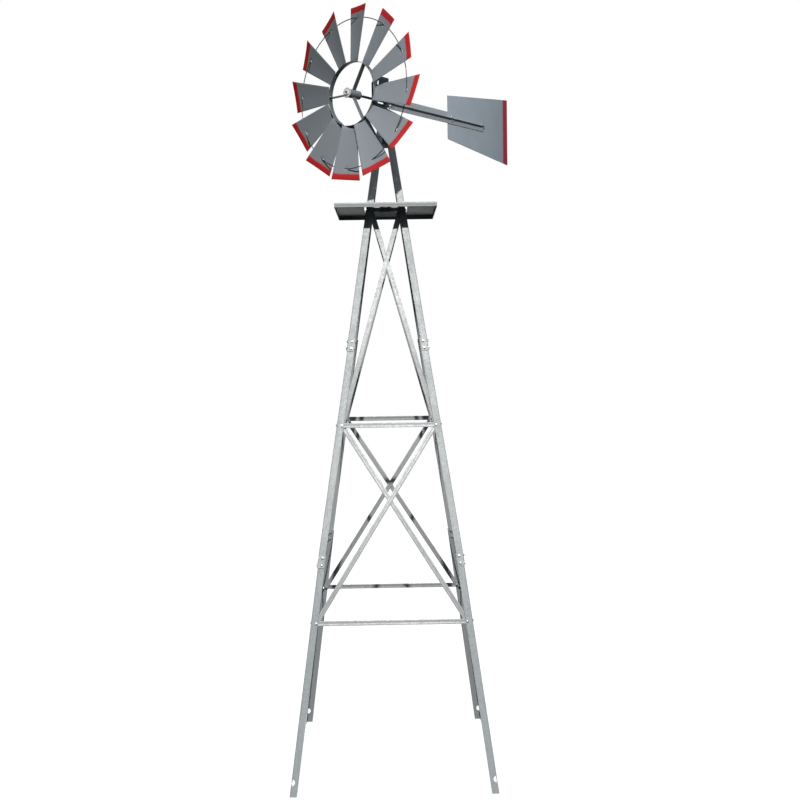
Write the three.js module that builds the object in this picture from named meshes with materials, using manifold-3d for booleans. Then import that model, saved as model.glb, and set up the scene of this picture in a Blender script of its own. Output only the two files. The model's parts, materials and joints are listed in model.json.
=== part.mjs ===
// Garden windmill: a four-legged lattice tower with a small platform, a turning head with a
// tail vane, and a twelve-bladed wheel. Millimetres, +Z up. The origin is on the ground, on the
// tower's centre line. The tower's front face looks along -Y.

import * as THREE from 'three';
import { mergeVertices } from 'three/addons/utils/BufferGeometryUtils.js';
import Module from 'manifold-3d';

const wasm = await Module();
wasm.setup();

// Gaps and sheet thicknesses
const GAP = 0.3;
const LAYER_GAP = 0.5;
const SHEET = 1.2;
const CUT_MARGIN = 5;
const JOIN_OVERLAP = 1;

// Tower legs: rolled angle, three overlapping sections each
const LEG_FLANGE = 22;
const LEG_THICKNESS = 2;
const LEG_TUCK = LEG_THICKNESS + 0.45;
const FOOT_HALF_WIDTH = 320.2;
const SPLICE_HALF_WIDTH = 230.9;
const LEAN_ABOVE_SPLICE = 0.1488;
const LOWER_SPLICE_Z = 685;
const UPPER_SPLICE_Z = 1356;
const SPLICE_OVERLAP = 38;
const LEG_TOP_Z = 2078.4;
const PEG_NOTCH_Z = 43;
const PEG_NOTCH_RADIUS = 11;
const PEG_NOTCH_SEGMENTS = [20, 12];

// Flat bars and braces, bolted inside the leg flanges
const STRIP_WIDTH = 15;
const STRIP_THICKNESS = 1.5;
const STRIP_END_SEGMENTS = 8;
const BOLT_FROM_CORNER = 16.7;
const BAR_END_FROM_CORNER = 8;
const LOWER_BAR_Z = 515;
const UPPER_BAR_Z = 1121.5;
const PLATFORM_BAR_Z = 1809.5;
const PLATFORM_BAR_END_FROM_CORNER = 3.7;

// Platform: a folded tray round the top of the tower
const PLATFORM_SIDE = 322;
const PLATFORM_TOP_Z = 1818.6;
const PLATFORM_LIP = 14;
const PLATFORM_HOLE_ACROSS = 139;
const PLATFORM_HOLE_DEEP = 127;
const PLATFORM_TAB_WIDTH = 40;
const PLATFORM_TAB_INSET = 58;

// Tower cap and the spindle that the head turns on
const CAP_BOTTOM_Z = 2022;
const CAP_PLATE_SIDE = 50;
const CAP_PLATE_THICKNESS = 4.3;
const CAP_TOP_Z = LEG_TOP_Z + GAP + CAP_PLATE_THICKNESS;
const SPINDLE_RADIUS = 8;
const SPINDLE_TOP_Z = 2147;
const SPINDLE_CLEARANCE = 0.4;

// Head: turned so that the wheel looks to the left of the tower's front
const HEAD_TURN = THREE.MathUtils.degToRad(-42.7);
const SHAFT_Z = 2166;
const HEAD_TUBE_RADIUS = 11;
const HEAD_TUBE_BORE_RADIUS = SPINDLE_RADIUS + SPINDLE_CLEARANCE;
const BRACKET_WIDTH = 24;
const BRACKET_STRAP = 3;
const BRACKET_INNER_CORNER = 1.2;
const BRACKET_FRONT = -46;
const BRACKET_REAR = 11;
const BRACKET_BOTTOM_Z = 2150.5;
const BRACKET_TOP_Z = 2240;
const BRACKET_SLOPE_START = -26;
const BRACKET_SLOPE_DROP = 18;
const BRACKET_REAR_CHAMFER = 6;
const TONGUE_REACH = 50;
const TONGUE_HEIGHT = 10;
const TONGUE_OFFSET = 6;
const HOOD_FRONT = -38;
const HOOD_REAR = 9;
const HOOD_HEIGHT = 29;
const HOOD_LIP = 6;

// Boom and tail vane, measured back from the tower's centre line
const BOOM_START = 20;
const BOOM_END = 531;
const BOOM_FLANGE_UP = 21;
const BOOM_FLANGE_DOWN = 20;
const BOOM_FLANGE_OUT = 8;
const BOOM_THICKNESS = 1.5;
const VANE_FRONT = 324.6;
const VANE_REAR = 675.4;
const VANE_FRONT_TOP = 76.4;
const VANE_FRONT_BOTTOM = -74.1;
const VANE_REAR_TOP = 118.2;
const VANE_REAR_BOTTOM = -123;

// Wheel, measured from the middle of its own plane
const WHEEL_AHEAD = 149.3;
const BLADE_COUNT = 12;
const BLADE_START = THREE.MathUtils.degToRad(7.44);
const BLADE_PITCH = THREE.MathUtils.degToRad(18.4);
const BLADE_THICKNESS = 1;
const BLADE_ROOT_RADIUS = 92;
const BLADE_ROOT_HALF_WIDTH = 24.3;
const BLADE_TIP_RADIUS = 267.3;
const BLADE_TIP_HALF_WIDTH = 51.2;
const RING_RADIUS = 100;
const RING_THICKNESS = 1.6;
const RING_WIDTH = 17;
const RING_MIDDLE = 3;
const RING_SEGMENTS = 72;
const BLADE_TO_RING = 0.4;
const RIM_WIRE_RADIUS = 232;
const RIM_WIRE_THICKNESS = 3;
const RIM_WIRE_SLOT_RADIUS = 2.3;
const RIM_WIRE_SLOT_LENGTH = 60;
const RIM_WIRE_SLOT_SEGMENTS = 12;
const RIM_WIRE_SEGMENTS = [6, 96];
const SPOKE_START = THREE.MathUtils.degToRad(32);
const SPOKE_COUNT = 3;
const SPOKE_WIDTH = 15;
const SPOKE_THICKNESS = 2.5;
const HUB_RADIUS = 13.5;
const HUB_FRONT = -19.7;
const HUB_REAR = 32.3;
const SHAFT_RADIUS = 4;
const SHAFT_CLEARANCE = 0.4;
const SHAFT_FRONT = -24.5;
const SHAFT_REAR = WHEEL_AHEAD + 17;
const SHAFT_SEGMENTS = 24;
const NOSE_FRONT = -26.7;
const NOSE_WASHER_RADIUS = 16;
const NOSE_WASHER_THICKNESS = 2.7;
const NOSE_NUT_RADIUS = 8.5;
const NOSE_CHAMFER = 1.6;
const ROUND_SEGMENTS = 32;

function finish(color, roughness, metalness) {
  return () => new THREE.MeshStandardMaterial({ color, roughness, metalness });
}

const galvanised = finish(0xb9bec0, 0.45, 0.8);
const darkGalvanised = finish(0x8f979a, 0.5, 0.8);
const slatePaint = finish(0x3c464d, 0.55, 0.3);
const bladeGrey = finish(0x87919a, 0.4, 0.6);
const steel = finish(0x6f777b, 0.35, 0.9);
const brightSteel = finish(0xd5d8d6, 0.25, 0.9);

// Solids: a geometry goes to manifold for joining and cutting, and comes back as a geometry

function toSolid(geometry) {
  const bare = geometry.clone();
  bare.deleteAttribute('normal');
  bare.deleteAttribute('uv');
  const merged = mergeVertices(bare, 1e-3);
  const vertProperties = new Float32Array(merged.attributes.position.array);
  const triVerts = new Uint32Array(merged.index.array);
  return new wasm.Manifold(new wasm.Mesh({ numProp: 3, vertProperties, triVerts }));
}

function toGeometry(solid) {
  const mesh = solid.getMesh();
  const geometry = new THREE.BufferGeometry();
  geometry.setAttribute('position', new THREE.BufferAttribute(mesh.vertProperties, 3));
  geometry.setIndex(new THREE.BufferAttribute(mesh.triVerts, 1));
  geometry.computeVertexNormals();
  return geometry;
}

function join(...geometries) {
  return toGeometry(geometries.map(toSolid).reduce((whole, piece) => whole.add(piece)));
}

function cut(geometry, ...cutters) {
  const blank = toSolid(geometry);
  return toGeometry(cutters.map(toSolid).reduce((rest, cutter) => rest.subtract(cutter), blank));
}

function box(xRange, yRange, zRange) {
  const size = [xRange, yRange, zRange].map(([low, high]) => high - low);
  const middle = [xRange, yRange, zRange].map(([low, high]) => (high + low) / 2);
  return new THREE.BoxGeometry(...size).translate(...middle);
}

function outline(points) {
  return new THREE.Shape(points.map(([x, y]) => new THREE.Vector2(x, y)));
}

function rectangle(halfLength, halfWidth) {
  return outline([
    [-halfLength, -halfWidth],
    [halfLength, -halfWidth],
    [halfLength, halfWidth],
    [-halfLength, halfWidth],
  ]);
}

function extrude(shape, depth) {
  return new THREE.ExtrudeGeometry(shape, { depth, bevelEnabled: false });
}

// A profile drawn as (radius, height) and turned about +Y; it closes on itself
function turned(profile, segments = ROUND_SEGMENTS) {
  const closed = [...profile, profile[0]];
  const points = closed.map(([radius, height]) => new THREE.Vector2(radius, height));
  return new THREE.LatheGeometry(points, segments);
}

function rodAlongY(radius, yFrom, yTo, segments = SHAFT_SEGMENTS) {
  const length = yTo - yFrom;
  return new THREE.CylinderGeometry(radius, radius, length, segments).translate(0, (yFrom + yTo) / 2, 0);
}

// Drawn as (y, z) and thickened evenly to both sides of x = 0
function sidePlate(shape, thickness) {
  const plate = extrude(shape, thickness).translate(0, 0, -thickness / 2);
  const axes = new THREE.Matrix4().makeBasis(
    new THREE.Vector3(0, 1, 0),
    new THREE.Vector3(0, 0, 1),
    new THREE.Vector3(1, 0, 0),
  );
  return plate.applyMatrix4(axes);
}

function place(parent, name, geometry, material) {
  const mesh = new THREE.Mesh(geometry, material());
  mesh.name = name;
  parent.add(mesh);
  return mesh;
}

// Legs

const upperLean = (z) => SPLICE_HALF_WIDTH - LEAN_ABOVE_SPLICE * (z - LOWER_SPLICE_Z);

function legSection(name, bottomZ, topZ, bottomHalfWidth, topHalfWidth) {
  const lean = (bottomHalfWidth - topHalfWidth) / (topZ - bottomZ);
  return { name, bottomZ, topZ, bottomHalfWidth, lean };
}

const lowerTopZ = LOWER_SPLICE_Z + SPLICE_OVERLAP;
const middleTopZ = UPPER_SPLICE_Z + SPLICE_OVERLAP;
const lowerTopHalf = upperLean(lowerTopZ) - LEG_TUCK;
const middleTopHalf = upperLean(middleTopZ) - LEG_TUCK;
const legSections = [
  legSection('lower', 0, lowerTopZ, FOOT_HALF_WIDTH, lowerTopHalf),
  legSection('middle', LOWER_SPLICE_Z, middleTopZ, SPLICE_HALF_WIDTH, middleTopHalf),
  legSection('upper', UPPER_SPLICE_Z, LEG_TOP_Z, upperLean(UPPER_SPLICE_Z), upperLean(LEG_TOP_Z)),
];

function sectionAt(z) {
  return legSections.findLast((section) => z >= section.bottomZ);
}

function halfWidthAt(z) {
  const section = sectionAt(z);
  return section.bottomHalfWidth - section.lean * (z - section.bottomZ);
}

// An angle with its outer corner on the line that leans in over +X and +Y
function legGeometry(section) {
  const profile = outline([
    [0, 0],
    [-LEG_FLANGE, 0],
    [-LEG_FLANGE, -LEG_THICKNESS],
    [-LEG_THICKNESS, -LEG_THICKNESS],
    [-LEG_THICKNESS, -LEG_FLANGE],
    [0, -LEG_FLANGE],
  ]);
  const leaning = new THREE.Matrix4().set(
    1, 0, -section.lean, section.bottomHalfWidth,
    0, 1, -section.lean, section.bottomHalfWidth,
    0, 0, 1, section.bottomZ,
    0, 0, 0, 1,
  );
  const leg = extrude(profile, section.topZ - section.bottomZ).applyMatrix4(leaning);
  if (section.bottomZ > 0) return leg;
  const corner = section.bottomHalfWidth - section.lean * PEG_NOTCH_Z;
  const notch = new THREE.SphereGeometry(PEG_NOTCH_RADIUS, ...PEG_NOTCH_SEGMENTS);
  return cut(leg, notch.translate(corner, corner, PEG_NOTCH_Z));
}

const LEG_CORNERS = ['rear_right', 'rear_left', 'front_left', 'front_right'];

function buildLegs() {
  const legs = new THREE.Group();
  for (const section of legSections) {
    LEG_CORNERS.forEach((corner, quarter) => {
      const leg = place(legs, `leg_${corner}_${section.name}`, legGeometry(section), galvanised);
      leg.rotation.z = (quarter * Math.PI) / 2;
    });
  }
  return legs;
}

// Bars and braces. Each is worked out on the front face and turned to the other three.

const FACES = ['front', 'right', 'rear', 'left'];

function depthOfLayer(layer) {
  const first = LEG_THICKNESS + GAP + STRIP_THICKNESS / 2;
  return first + layer * (STRIP_THICKNESS + LAYER_GAP);
}

function stripPoint(side, fromCorner, z, layer) {
  const halfWidth = halfWidthAt(z);
  return new THREE.Vector3(side * (halfWidth - fromCorner), depthOfLayer(layer) - halfWidth, z);
}

// Turns a strip that lies along +X in the XY plane onto the line between two points of a face
function layStrip(strip, from, to) {
  const along = to.clone().sub(from).normalize();
  const faceNormal = new THREE.Vector3(0, -1, sectionAt(from.z).lean);
  const normal = faceNormal.addScaledVector(along, -faceNormal.dot(along)).normalize();
  const across = normal.clone().cross(along);
  const middle = from.clone().add(to).multiplyScalar(0.5);
  const pose = new THREE.Matrix4().makeBasis(along, across, normal).setPosition(middle);
  return strip.translate(0, 0, -STRIP_THICKNESS / 2).applyMatrix4(pose);
}

function barGeometry(z, endFromCorner = BAR_END_FROM_CORNER) {
  const from = stripPoint(-1, endFromCorner, z, 0);
  const to = stripPoint(1, endFromCorner, z, 0);
  const strip = rectangle(from.distanceTo(to) / 2, STRIP_WIDTH / 2);
  return layStrip(extrude(strip, STRIP_THICKNESS), from, to);
}

function braceGeometry(bottomZ, topZ, side) {
  const layer = side > 0 ? 1 : 2;
  const from = stripPoint(-side, BOLT_FROM_CORNER, bottomZ, layer);
  const to = stripPoint(side, BOLT_FROM_CORNER, topZ, layer);
  const halfLength = from.distanceTo(to) / 2;
  const strip = new THREE.Shape();
  strip.absarc(halfLength, 0, STRIP_WIDTH / 2, -Math.PI / 2, Math.PI / 2);
  strip.absarc(-halfLength, 0, STRIP_WIDTH / 2, Math.PI / 2, (3 * Math.PI) / 2);
  const options = { depth: STRIP_THICKNESS, bevelEnabled: false, curveSegments: STRIP_END_SEGMENTS };
  return layStrip(new THREE.ExtrudeGeometry(strip, options), from, to);
}

function buildBracing() {
  const bracing = new THREE.Group();
  const bars = { lower: LOWER_BAR_Z, upper: UPPER_BAR_Z };
  const bays = { lower: [LOWER_BAR_Z, UPPER_BAR_Z], upper: [UPPER_BAR_Z, PLATFORM_BAR_Z] };
  FACES.forEach((face, quarter) => {
    const side = new THREE.Group();
    side.rotation.z = (quarter * Math.PI) / 2;
    bracing.add(side);
    for (const [level, z] of Object.entries(bars)) {
      place(side, `bar_${face}_${level}`, barGeometry(z), galvanised);
    }
    for (const [bay, [bottomZ, topZ]] of Object.entries(bays)) {
      place(side, `brace_${face}_${bay}_a`, braceGeometry(bottomZ, topZ, 1), galvanised);
      place(side, `brace_${face}_${bay}_b`, braceGeometry(bottomZ, topZ, -1), galvanised);
    }
  });
  return bracing;
}

// Four short bars under the platform, long enough to meet at the corners
function platformBarsGeometry() {
  return join(...FACES.map((face, quarter) => {
    const bar = barGeometry(PLATFORM_BAR_Z, PLATFORM_BAR_END_FROM_CORNER);
    return bar.rotateZ((quarter * Math.PI) / 2);
  }));
}

// Platform

function platformGeometry() {
  const half = PLATFORM_SIDE / 2;
  const inside = half - SHEET;
  const across = PLATFORM_HOLE_ACROSS / 2;
  const deep = PLATFORM_HOLE_DEEP / 2;
  const bottomZ = PLATFORM_TOP_Z - PLATFORM_LIP;
  const underside = PLATFORM_TOP_Z - SHEET;
  const block = box([-half, half], [-half, half], [bottomZ, PLATFORM_TOP_Z]);
  const below = bottomZ - CUT_MARGIN;
  const hollow = box([-inside, inside], [-inside, inside], [below, underside]);
  const opening = box([-across, across], [-deep, deep], [below, PLATFORM_TOP_Z + CUT_MARGIN]);
  const tabHalf = PLATFORM_TAB_WIDTH / 2;
  const tabs = [-1, 1].map((side) => {
    const reach = [side * PLATFORM_TAB_INSET, side * (deep + CUT_MARGIN)].sort((a, b) => a - b);
    return box([-tabHalf, tabHalf], reach, [underside, PLATFORM_TOP_Z]);
  });
  return join(cut(block, hollow, opening), ...tabs);
}

// Cap and spindle: a tapered block inside the leg tops, a plate over them and a round pin

function towerCapGeometry() {
  const toCorner = Math.SQRT2;
  const topHalf = halfWidthAt(LEG_TOP_Z) - LEG_THICKNESS - GAP;
  const bottomHalf = halfWidthAt(CAP_BOTTOM_Z) - LEG_THICKNESS - GAP;
  const height = LEG_TOP_Z - CAP_BOTTOM_Z;
  const block = new THREE.CylinderGeometry(topHalf * toCorner, bottomHalf * toCorner, height, 4)
    .rotateY(Math.PI / 4)
    .rotateX(Math.PI / 2)
    .translate(0, 0, CAP_BOTTOM_Z + height / 2);
  const neckHalf = topHalf - JOIN_OVERLAP;
  const neckSide = [-neckHalf, neckHalf];
  const neck = box(neckSide, neckSide, [LEG_TOP_Z - JOIN_OVERLAP, CAP_TOP_Z]);
  const half = CAP_PLATE_SIDE / 2;
  const plate = box([-half, half], [-half, half], [LEG_TOP_Z + GAP, CAP_TOP_Z]);
  const spindle = rodAlongY(SPINDLE_RADIUS, CAP_TOP_Z - JOIN_OVERLAP, SPINDLE_TOP_Z, ROUND_SEGMENTS);
  return join(block, neck, plate, spindle.rotateX(Math.PI / 2));
}

function buildTower() {
  const tower = new THREE.Group();
  tower.add(buildLegs());
  tower.add(buildBracing());
  place(tower, 'platform_bars', platformBarsGeometry(), darkGalvanised);
  place(tower, 'platform', platformGeometry(), galvanised);
  place(tower, 'tower_cap', towerCapGeometry(), slatePaint);
  return tower;
}

// Head, drawn looking straight ahead along -Y; the whole group is then turned

function headBracketGeometry() {
  const slopeZ = BRACKET_TOP_Z - BRACKET_SLOPE_DROP;
  const chamferZ = BRACKET_TOP_Z - BRACKET_REAR_CHAMFER;
  const loop = outline([
    [BRACKET_FRONT, BRACKET_BOTTOM_Z],
    [BRACKET_REAR, BRACKET_BOTTOM_Z],
    [BRACKET_REAR, chamferZ],
    [BRACKET_REAR - BRACKET_REAR_CHAMFER, BRACKET_TOP_Z],
    [BRACKET_SLOPE_START, BRACKET_TOP_Z],
    [BRACKET_FRONT, slopeZ],
  ]);
  const strap = BRACKET_STRAP;
  const cornerCut = BRACKET_INNER_CORNER;
  loop.holes.push(new THREE.Path([
    [BRACKET_FRONT + strap, BRACKET_BOTTOM_Z + strap],
    [BRACKET_FRONT + strap, slopeZ - cornerCut],
    [BRACKET_SLOPE_START + cornerCut, BRACKET_TOP_Z - strap],
    [BRACKET_REAR - BRACKET_REAR_CHAMFER - cornerCut, BRACKET_TOP_Z - strap],
    [BRACKET_REAR - strap, chamferZ - cornerCut],
    [BRACKET_REAR - strap, BRACKET_BOTTOM_Z + strap],
  ].map(([y, z]) => new THREE.Vector2(y, z))));
  const tubeBottom = CAP_TOP_Z + GAP;
  const tubeTop = BRACKET_BOTTOM_Z + JOIN_OVERLAP;
  const tube = turned([
    [HEAD_TUBE_BORE_RADIUS, tubeBottom],
    [HEAD_TUBE_RADIUS, tubeBottom],
    [HEAD_TUBE_RADIUS, tubeTop],
    [HEAD_TUBE_BORE_RADIUS, tubeTop],
  ]).rotateX(Math.PI / 2);
  const tongues = [-1, 1].map((side) => {
    const middle = SHAFT_Z + side * (TONGUE_OFFSET + TONGUE_HEIGHT / 2);
    const heights = [middle - TONGUE_HEIGHT / 2, middle + TONGUE_HEIGHT / 2];
    return box([-SHEET / 2, SHEET / 2], [BRACKET_REAR - strap / 2, TONGUE_REACH], heights);
  });
  const holeRadius = SHAFT_RADIUS + SHAFT_CLEARANCE;
  const shaftHole = rodAlongY(holeRadius, BRACKET_FRONT - CUT_MARGIN, BRACKET_REAR + CUT_MARGIN);
  const bracket = join(sidePlate(loop, BRACKET_WIDTH), tube, ...tongues);
  return cut(bracket, shaftHole.translate(0, 0, SHAFT_Z));
}

// A folded cover over the bracket's top, open at both ends, with a long right side and a short lip
function headHoodGeometry() {
  const inner = BRACKET_WIDTH / 2 + GAP;
  const outer = inner + SHEET;
  const underside = BRACKET_TOP_Z + GAP;
  const top = underside + SHEET;
  const bottom = top - HOOD_HEIGHT;
  const lipBottom = top - HOOD_LIP;
  const channel = outline([
    [-outer, lipBottom],
    [-inner, lipBottom],
    [-inner, underside],
    [inner, underside],
    [inner, bottom],
    [outer, bottom],
    [outer, top],
    [-outer, top],
  ]);
  return extrude(channel, HOOD_REAR - HOOD_FRONT).rotateX(Math.PI / 2).translate(0, HOOD_REAR, 0);
}

// Two angles back to back: side is +1 for the one that stands up, -1 for the one that hangs down
function boomGeometry(side, flangeHeight) {
  const nearX = -side * (SHEET / 2 + GAP);
  const webX = nearX - side * BOOM_THICKNESS;
  const farX = nearX - side * BOOM_FLANGE_OUT;
  const nearZ = side * (GAP / 2);
  const shelfZ = nearZ + side * BOOM_THICKNESS;
  const farZ = side * flangeHeight;
  const profile = outline([
    [nearX, nearZ],
    [nearX, farZ],
    [webX, farZ],
    [webX, shelfZ],
    [farX, shelfZ],
    [farX, nearZ],
  ]);
  const angle = extrude(profile, BOOM_END - BOOM_START).rotateX(Math.PI / 2);
  return angle.translate(0, BOOM_END, SHAFT_Z);
}

function vaneGeometry() {
  const vane = outline([
    [VANE_FRONT, VANE_FRONT_BOTTOM],
    [VANE_REAR, VANE_REAR_BOTTOM],
    [VANE_REAR, VANE_REAR_TOP],
    [VANE_FRONT, VANE_FRONT_TOP],
  ]);
  return sidePlate(vane, SHEET).translate(0, 0, SHAFT_Z);
}

// Wheel, drawn round the Y axis with its front towards -Y

function wheelFrameGeometry() {
  const ringInside = RING_RADIUS - RING_THICKNESS;
  const ringFront = RING_MIDDLE - RING_WIDTH / 2;
  const ringRear = RING_MIDDLE + RING_WIDTH / 2;
  const ring = turned([
    [ringInside, ringFront],
    [RING_RADIUS, ringFront],
    [RING_RADIUS, ringRear],
    [ringInside, ringRear],
  ], RING_SEGMENTS);
  const boreRadius = SHAFT_RADIUS + SHAFT_CLEARANCE;
  const hub = turned([
    [boreRadius, HUB_FRONT],
    [HUB_RADIUS, HUB_FRONT],
    [HUB_RADIUS, HUB_REAR],
    [boreRadius, HUB_REAR],
  ]);
  const spokes = [];
  for (let index = 0; index < SPOKE_COUNT; index += 1) {
    const halfThickness = SPOKE_THICKNESS / 2;
    const depth = [RING_MIDDLE - SPOKE_WIDTH / 2, RING_MIDDLE + SPOKE_WIDTH / 2];
    const reach = [HUB_RADIUS - JOIN_OVERLAP, RING_RADIUS - RING_THICKNESS / 2];
    const spoke = box([-halfThickness, halfThickness], depth, reach);
    spokes.push(spoke.rotateY(SPOKE_START + (index * 2 * Math.PI) / SPOKE_COUNT));
  }
  return join(ring, hub, ...spokes);
}

function noseNutGeometry() {
  const boreRadius = SHAFT_RADIUS + SHAFT_CLEARANCE;
  const washerRear = HUB_FRONT - GAP;
  const washerFront = washerRear - NOSE_WASHER_THICKNESS;
  return turned([
    [boreRadius, NOSE_FRONT],
    [NOSE_NUT_RADIUS - NOSE_CHAMFER, NOSE_FRONT],
    [NOSE_NUT_RADIUS, NOSE_FRONT + NOSE_CHAMFER],
    [NOSE_NUT_RADIUS, washerFront],
    [NOSE_WASHER_RADIUS, washerFront],
    [NOSE_WASHER_RADIUS, washerRear],
    [boreRadius, washerRear],
  ], SHAFT_SEGMENTS);
}

// A pitched trapezoid standing over +Z, hollowed at its root to fit the ring, slotted for the wire
function bladeGeometry() {
  const blank = outline([
    [-BLADE_ROOT_HALF_WIDTH, BLADE_ROOT_RADIUS],
    [BLADE_ROOT_HALF_WIDTH, BLADE_ROOT_RADIUS],
    [BLADE_TIP_HALF_WIDTH, BLADE_TIP_RADIUS],
    [-BLADE_TIP_HALF_WIDTH, BLADE_TIP_RADIUS],
  ]);
  const sheet = extrude(blank, BLADE_THICKNESS)
    .rotateX(Math.PI / 2)
    .translate(0, BLADE_THICKNESS / 2, 0)
    .rotateZ(-BLADE_PITCH);
  const ringSpace = rodAlongY(RING_RADIUS + BLADE_TO_RING, -RING_WIDTH, RING_WIDTH, RING_SEGMENTS);
  const reach = RIM_WIRE_SLOT_LENGTH / 2;
  const wireSpace = rodAlongY(RIM_WIRE_SLOT_RADIUS, -reach, reach, RIM_WIRE_SLOT_SEGMENTS);
  wireSpace.rotateZ(Math.PI / 2).translate(0, 0, RIM_WIRE_RADIUS);
  return cut(sheet, ringSpace, wireSpace);
}

function buildWheel() {
  const wheel = new THREE.Group();
  wheel.position.set(0, -WHEEL_AHEAD, SHAFT_Z);
  place(wheel, 'wheel_frame', wheelFrameGeometry(), slatePaint);
  place(wheel, 'wheel_shaft', rodAlongY(SHAFT_RADIUS, SHAFT_FRONT, SHAFT_REAR), steel);
  place(wheel, 'nose_nut', noseNutGeometry(), brightSteel);
  const wireHalf = RIM_WIRE_THICKNESS / 2;
  const rimWire = new THREE.TorusGeometry(RIM_WIRE_RADIUS, wireHalf, ...RIM_WIRE_SEGMENTS);
  place(wheel, 'rim_wire', rimWire.rotateX(Math.PI / 2), steel);
  for (let index = 0; index < BLADE_COUNT; index += 1) {
    const blade = place(wheel, `blade_${index + 1}`, bladeGeometry(), bladeGrey);
    blade.rotation.y = BLADE_START + (index * 2 * Math.PI) / BLADE_COUNT;
  }
  return wheel;
}

function buildHead() {
  const head = new THREE.Group();
  head.rotation.z = HEAD_TURN;
  place(head, 'head_bracket', headBracketGeometry(), slatePaint);
  place(head, 'head_hood', headHoodGeometry(), slatePaint);
  place(head, 'boom_upper', boomGeometry(1, BOOM_FLANGE_UP), galvanised);
  place(head, 'boom_lower', boomGeometry(-1, BOOM_FLANGE_DOWN), galvanised);
  place(head, 'tail_vane', vaneGeometry(), bladeGrey);
  head.add(buildWheel());
  return head;
}

const windmill = new THREE.Group();
windmill.add(buildTower());
windmill.add(buildHead());

export default windmill;
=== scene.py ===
# Garden windmill: lattice tower, swivelling head with tail vane, twelve-bladed wheel
import bmesh
import bpy
import json
import math
import random
from mathutils import Matrix, Vector


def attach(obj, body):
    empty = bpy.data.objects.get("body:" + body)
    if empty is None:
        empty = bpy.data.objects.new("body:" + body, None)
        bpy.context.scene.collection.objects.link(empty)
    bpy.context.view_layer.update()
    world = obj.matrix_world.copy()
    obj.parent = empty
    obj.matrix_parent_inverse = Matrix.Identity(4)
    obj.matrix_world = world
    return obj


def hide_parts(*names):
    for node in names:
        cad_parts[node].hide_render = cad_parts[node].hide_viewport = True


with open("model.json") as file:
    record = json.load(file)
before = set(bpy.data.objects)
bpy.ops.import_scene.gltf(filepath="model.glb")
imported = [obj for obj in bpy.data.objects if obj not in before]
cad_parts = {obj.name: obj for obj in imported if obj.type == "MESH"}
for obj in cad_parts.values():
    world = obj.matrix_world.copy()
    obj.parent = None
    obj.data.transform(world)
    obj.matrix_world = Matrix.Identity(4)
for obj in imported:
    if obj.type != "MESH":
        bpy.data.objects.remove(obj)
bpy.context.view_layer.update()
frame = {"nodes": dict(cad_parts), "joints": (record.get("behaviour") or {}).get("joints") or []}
mm = 0.001
random.seed(8)
print("frame loaded:", len(frame["nodes"]), "nodes")

# the camera stands at about chest height, a little over three metres in front of the tower
cameraSetup = {
    "spot": (0.0055, -3.3871, 1.3568),
    "lens": 46.16,
    "turn": -0.54,
    "tilt": -2.78,
    "roll": -0.854,
}


def newObject(name, data):
    made = bpy.data.objects.new(name, data)
    bpy.context.scene.collection.objects.link(made)
    return made


def makeCamera():
    data = bpy.data.cameras.new("camera")
    data.lens = cameraSetup["lens"]
    data.sensor_width = 36
    data.clip_end = 60
    camera = newObject("camera", data)
    turned = Matrix.Rotation(math.radians(cameraSetup["turn"]), 4, "Z")
    tilted = Matrix.Rotation(math.radians(90 + cameraSetup["tilt"]), 4, "X")
    rolled = Matrix.Rotation(math.radians(cameraSetup["roll"]), 4, "Z")
    camera.matrix_world = Matrix.Translation(cameraSetup["spot"]) @ turned @ tilted @ rolled
    bpy.context.scene.camera = camera


makeCamera()
print("camera placed")


# where things are, read from the frame
def nodeBox(node, place=Matrix.Identity(4)):
    level = place.inverted()
    spots = [level @ v.co for v in frame["nodes"][node].data.vertices]
    low = Vector([min(p[i] for p in spots) for i in range(3)])
    high = Vector([max(p[i] for p in spots) for i in range(3)])
    return low, high


spinJoint = next(j for j in frame["joints"] if j["name"] == "wheel_spin")
spinAxis = Vector(spinJoint["axis"]).normalized()
shaftHeight = spinJoint["pos_m"][2]
headTurn = math.atan2(spinAxis.x, -spinAxis.y)
headPlace = Matrix.Rotation(headTurn, 4, "Z")
wireLow, wireHigh = nodeBox("rim_wire")
wheelCentre = (wireLow + wireHigh) / 2
wheelPlace = Matrix.Translation(wheelCentre) @ headPlace
quarters = [Matrix.Rotation(q * math.pi / 2, 4, "Z") for q in range(4)]


# small mesh tools
def meshFrom(bm, name):
    bmesh.ops.recalc_face_normals(bm, faces=bm.faces)
    mesh = bpy.data.meshes.new(name)
    bm.to_mesh(mesh)
    bm.free()
    return mesh


def linkPiece(name, shape, body, material, place=None, stands=(), smooth=32):
    # the shape is a mesh, or a bmesh that is turned into one
    mesh = meshFrom(shape, name) if isinstance(shape, bmesh.types.BMesh) else shape
    piece = newObject(name, mesh)
    if place is not None:
        piece.matrix_world = place
    mesh.materials.append(material)
    mesh.shade_smooth()
    mesh.set_sharp_from_angle(angle=math.radians(smooth))
    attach(piece, body)
    if stands:
        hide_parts(*stands)


def roundCorners(points, radii, steps=4):
    # replaces each corner of a closed outline with an arc
    rounded = []
    count = len(points)
    for i, corner in enumerate(points):
        here = Vector(corner)
        before = Vector(points[i - 1]) - here
        after = Vector(points[(i + 1) % count]) - here
        radius = radii[i] if hasattr(radii, "__len__") else radii
        angle = before.angle(after)
        if radius <= 0 or angle > math.pi - 0.01:
            rounded.append(here)
            continue
        reach = min(radius / math.tan(angle / 2), 0.49 * before.length, 0.49 * after.length)
        radius = reach * math.tan(angle / 2)
        middle = (before.normalized() + after.normalized()).normalized()
        middle *= radius / math.sin(angle / 2)
        start = before.normalized() * reach - middle
        end = after.normalized() * reach - middle
        for k in range(steps + 1):
            spoke = start.slerp(end, k / steps).normalized() * radius
            rounded.append(here + middle + spoke)
    return rounded


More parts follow.
